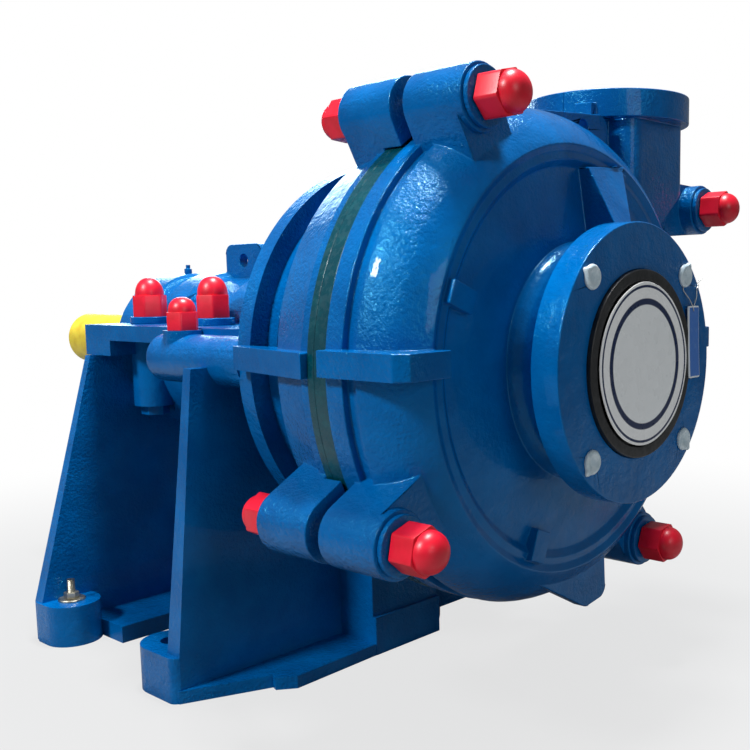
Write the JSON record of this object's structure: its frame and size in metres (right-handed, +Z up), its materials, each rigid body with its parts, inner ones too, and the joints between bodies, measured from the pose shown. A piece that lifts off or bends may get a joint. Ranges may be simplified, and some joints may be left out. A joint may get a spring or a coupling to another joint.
{
  "type": "slurry pump",
  "caption": "horizontal rubber-lined centrifugal slurry pump on a cast stand, with split casing, flanged end suction, upright discharge and a sliding bearing cartridge",
  "frame": {"origin": "underside of the feet, in the middle of the four foot holes", "axes": "+X along the shaft towards the suction flange, +Y towards the discharge branch, +Z up"},
  "size_m": [1.189, 0.756, 0.745],
  "materials": {
    "blue_paint": "glossy blue enamel over cast iron",
    "red_cap": "smooth moulded red plastic",
    "green_rubber": "dark teal rubber lining",
    "black_rubber": "black moulded rubber",
    "zinc_steel": "zinc plated fasteners",
    "wear_iron": "hard white iron, as cast",
    "packing": "braided gland packing",
    "white_disc": "white printed board",
    "yellow_sleeve": "yellow plastic sleeve",
    "machined_steel": "turned and ground steel"
  },
  "bodies": {
    "frame": {"base": "blue_paint", "clamp_bolts": "zinc_steel", "clamp_washers": "blue_paint", "clamp_nuts": "zinc_steel", "clamp_bolt_caps": "red_cap", "rail_bolts": "zinc_steel", "rail_nuts": "zinc_steel", "rail_bolt_caps": "red_cap", "frame_plate": "blue_paint", "cover_plate": "blue_paint", "frame_plate_liner": "green_rubber", "cover_plate_liner": "green_rubber", "throatbush": "black_rubber", "suction_joint_ring": "black_rubber", "suction_cover_disc": "white_disc", "discharge_joint_ring": "black_rubber", "casing_bolts": "zinc_steel", "casing_washers": "blue_paint", "casing_nuts": "zinc_steel", "casing_bolt_caps": "red_cap", "frame_plate_studs": "zinc_steel", "frame_plate_nuts": "zinc_steel", "liner_insert": "wear_iron", "expeller_ring": "wear_iron", "packing_rings": "packing", "gland": "wear_iron", "gland_bolts": "zinc_steel", "gland_nuts": "zinc_steel"},
    "cartridge": {"bearing_housing": "blue_paint", "drive_end_cover": "blue_paint", "wet_end_cover": "blue_paint", "drive_bearing_outer": "machined_steel", "wet_bearing_outer": "machined_steel", "end_cover_bolts": "zinc_steel", "grease_nipples": "blue_paint", "adjusting_screw": "zinc_steel"},
    "rotor": {"shaft": "machined_steel", "shaft_end_sleeve": "yellow_sleeve", "drive_bearing_inner": "machined_steel", "wet_bearing_inner": "machined_steel", "drive_labyrinth": "machined_steel", "wet_labyrinth": "machined_steel", "shaft_sleeve": "machined_steel", "expeller": "wear_iron", "shaft_spacer": "machined_steel", "impeller": "wear_iron"},
    "drive_rollers": {"drive_bearing_rollers": "machined_steel"},
    "wet_rollers": {"wet_bearing_rollers": "machined_steel"},
    "adjusters": {"adjusting_nuts": "zinc_steel"}
  },
  "joints": [
    {"name": "cartridge_slide", "type": "slide", "parent": "frame", "child": "cartridge", "axis": [1, 0, 0], "range_m": [-0.003, 0.002]},
    {"name": "rotor_spin", "type": "hinge", "parent": "cartridge", "child": "rotor", "pos_m": [0, 0, 0.408], "axis": [1, 0, 0], "continuous": true},
    {"name": "drive_roller_orbit", "type": "hinge", "parent": "cartridge", "child": "drive_rollers", "pos_m": [-0.21, 0, 0.408], "axis": [1, 0, 0], "continuous": true},
    {"name": "wet_roller_orbit", "type": "hinge", "parent": "cartridge", "child": "wet_rollers", "pos_m": [0.072, 0, 0.408], "axis": [1, 0, 0], "continuous": true},
    {"name": "adjusting_turn", "type": "hinge", "parent": "frame", "child": "adjusters", "pos_m": [-0.155, 0, 0.242], "axis": [1, 0, 0], "range_deg": [-290, 434]}
  ],
  "couplings": [
    {"joint": "drive_roller_orbit", "follows": "rotor_spin", "ratio": 0.444},
    {"joint": "wet_roller_orbit", "follows": "rotor_spin", "ratio": 0.444},
    {"joint": "adjusting_turn", "follows": "cartridge_slide", "rad_per_m": -2513.3}
  ]
}
